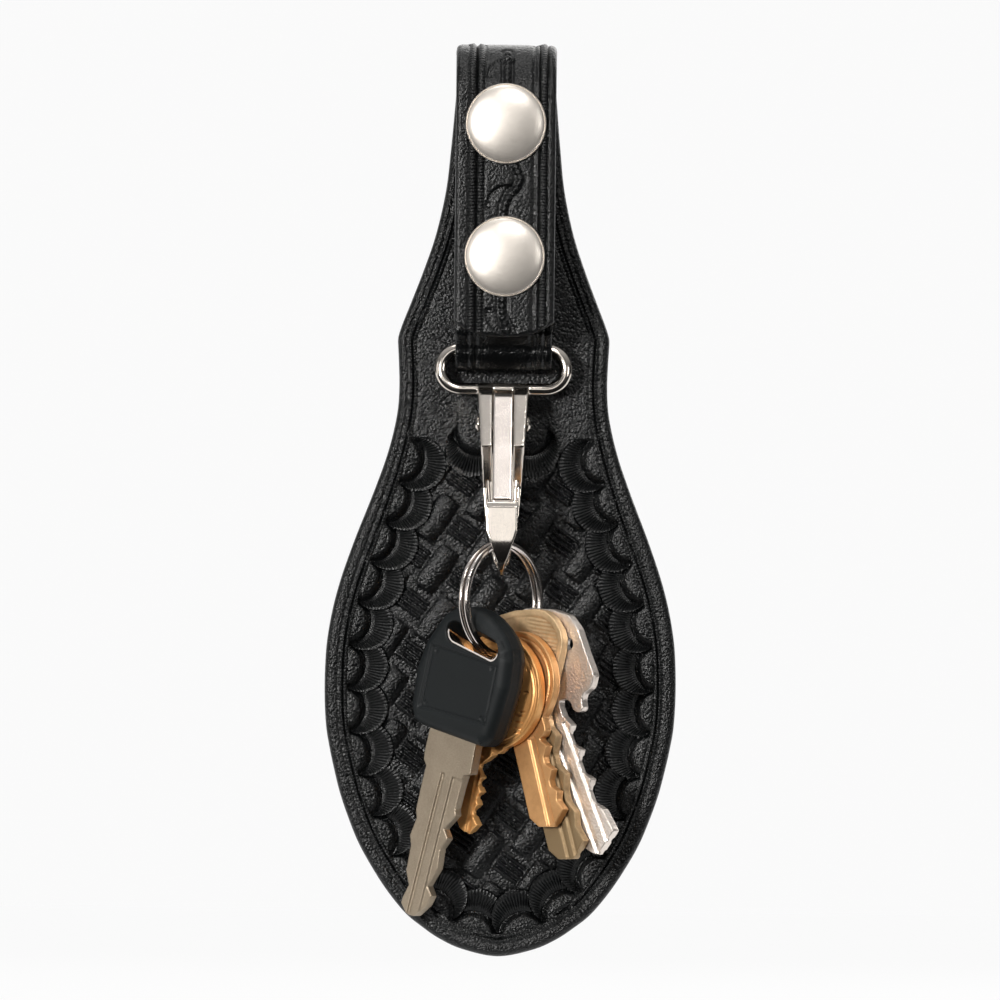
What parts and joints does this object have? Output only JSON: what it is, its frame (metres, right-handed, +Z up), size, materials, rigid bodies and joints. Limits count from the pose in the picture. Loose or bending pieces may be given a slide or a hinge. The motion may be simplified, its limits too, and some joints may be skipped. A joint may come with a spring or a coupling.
{
  "type": "belt key holder",
  "caption": "Belt key holder: stamped leather flap with a snap strap, a snap hook with a spring gate, a split ring and keys.",
  "frame": {"origin": "middle of the belt gap, between the inner strap's front leg and its back tab", "axes": "+Z up, +X to the right seen from the front, +Y to the back, towards the wearer"},
  "size_m": [0.0668, 0.0274, 0.1733],
  "materials": {
    "black_leather": "stamped, semi-gloss",
    "inner_leather": "smooth, semi-gloss",
    "rivet_metal": "plated",
    "cap_nickel": "brushed nickel",
    "snap_metal": "nickel plated",
    "hook_nickel": "polished nickel",
    "gate_nickel": "satin nickel",
    "spring_steel": "bare",
    "ring_nickel": "nickel plated",
    "black_plastic": "fine grain",
    "blade_nickel": "satin, worn",
    "key_brass": "satin, worn",
    "ribbed_brass": "satin, worn",
    "key_nickel": "sparkling, worn"
  },
  "bodies": {
    "flap": {"flap_pad": "black_leather", "stud_strap": "inner_leather", "pad_rivets": "rivet_metal", "rivet_burrs": "rivet_metal", "upper_snap_stud": "snap_metal", "lower_snap_stud": "snap_metal", "upper_snap_eyelet": "snap_metal", "lower_snap_eyelet": "snap_metal"},
    "front_strap": {"front_strap": "black_leather", "upper_snap_cap": "cap_nickel", "lower_snap_cap": "cap_nickel", "upper_snap_socket": "snap_metal", "lower_snap_socket": "snap_metal"},
    "hook": {"snap_hook": "hook_nickel", "gate_pin": "gate_nickel", "gate_spring": "spring_steel"},
    "gate": {"gate": "gate_nickel"},
    "ring": {"split_ring": "ring_nickel"},
    "car_key": {"car_key_head": "black_plastic", "car_key_blade": "blade_nickel", "slot_liner": "ring_nickel"},
    "round_key_front": {"round_key_front": "key_brass"},
    "round_key_rear": {"round_key_rear": "key_brass"},
    "ribbed_key": {"ribbed_key": "ribbed_brass"},
    "angular_key": {"angular_key": "key_nickel"}
  },
  "joints": [
    {"name": "strap_lift", "type": "hinge", "parent": "flap", "child": "front_strap", "pos_m": [0, -0.00813, 0.02713], "axis": [-1, 0, 0], "range_deg": [0, 150]},
    {"name": "hook_swing", "type": "hinge", "parent": "flap", "child": "hook", "pos_m": [0, 0.0012, -0.0279], "axis": [-1, 0, 0], "range_deg": [0, 50]},
    {"name": "gate_press", "type": "hinge", "parent": "hook", "child": "gate", "pos_m": [0, -0.00351, -0.04214], "axis": [1, 0, 0], "range_deg": [0, 22], "stiffness_Nm_per_rad": 0.004, "springref_deg": -17.19, "deforming": ["gate_spring"]},
    {"name": "ring_swing", "type": "hinge", "parent": "hook", "child": "ring", "pos_m": [0, -0.00732, -0.0699], "axis": [0, 1, 0], "range_deg": [-5, 5]},
    {"name": "car_key_swing", "type": "hinge", "parent": "ring", "child": "car_key", "pos_m": [-0.00267, -0.0104, -0.08528], "axis": [-0.6561, -0.7547, 0], "range_deg": [-2, 30]},
    {"name": "round_key_front_swing", "type": "hinge", "parent": "ring", "child": "round_key_front", "pos_m": [0.00097, -0.00621, -0.086], "axis": [-0.6561, -0.7547, 0], "range_deg": [-3, 35]},
    {"name": "round_key_rear_swing", "type": "hinge", "parent": "ring", "child": "round_key_rear", "pos_m": [0.00244, -0.00451, -0.08542], "axis": [-0.6561, -0.7547, 0], "range_deg": [-35, 10]},
    {"name": "ribbed_key_swing", "type": "hinge", "parent": "ring", "child": "ribbed_key", "pos_m": [0.00392, -0.00281, -0.08426], "axis": [-0.6561, -0.7547, 0], "range_deg": [-27, 8]},
    {"name": "angular_key_swing", "type": "hinge", "parent": "ring", "child": "angular_key", "pos_m": [0.0054, -0.00112, -0.08219], "axis": [-0.6561, -0.7547, 0], "range_deg": [-27, 8]}
  ]
}
